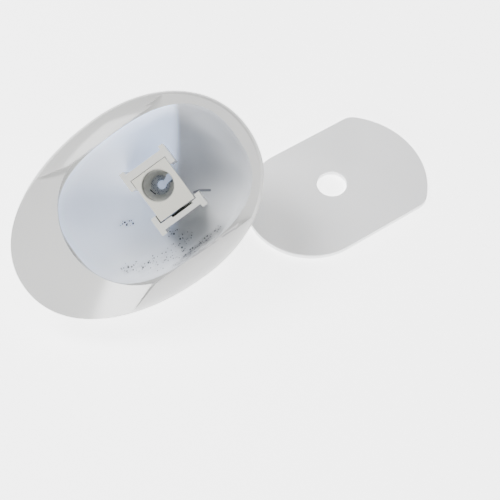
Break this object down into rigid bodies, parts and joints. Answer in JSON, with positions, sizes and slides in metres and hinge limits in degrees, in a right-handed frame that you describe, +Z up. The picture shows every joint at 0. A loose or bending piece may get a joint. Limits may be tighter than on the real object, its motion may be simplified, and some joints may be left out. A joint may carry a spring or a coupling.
{
  "type": "pencil sharpener",
  "caption": "Egg-shaped pencil sharpener with an open shavings bowl, a sharpening block held between posts, and its flat sliding lid lying beside it.",
  "frame": {"origin": "centre of the flat that the shell stands on, on the table", "axes": "+Z up from the table, +X from the shell towards the lid beside it, -Y towards the front, the side the bowl opens to"},
  "size_m": [0.1132, 0.073, 0.044],
  "materials": {
    "shell": "white, glossy, dusted with graphite",
    "sharpener_block": "ivory, satin",
    "blade": "ground",
    "blade_screw": "plated",
    "lid": "white, glossy"
  },
  "bodies": {
    "shell": {"shell": "shell"},
    "insert": {"sharpener_block": "sharpener_block", "blade": "blade"},
    "screw": {"blade_screw": "blade_screw"},
    "lid": {"lid": "lid"}
  },
  "joints": [
    {"name": "lid_lift", "type": "slide", "parent": "shell", "child": "lid", "axis": [0.4, 0, 0.9165], "range_m": [0, 0.06]},
    {"name": "insert_pull", "type": "slide", "parent": "shell", "child": "insert", "axis": [0.0401, -0.5831, 0.8114], "range_m": [0, 0.03]},
    {"name": "blade_screw_turn", "type": "hinge", "parent": "insert", "child": "screw", "pos_m": [0.01532, 0.01072, 0.01662], "axis": [0.7887, 0.5911, 0.1689], "continuous": true}
  ]
}
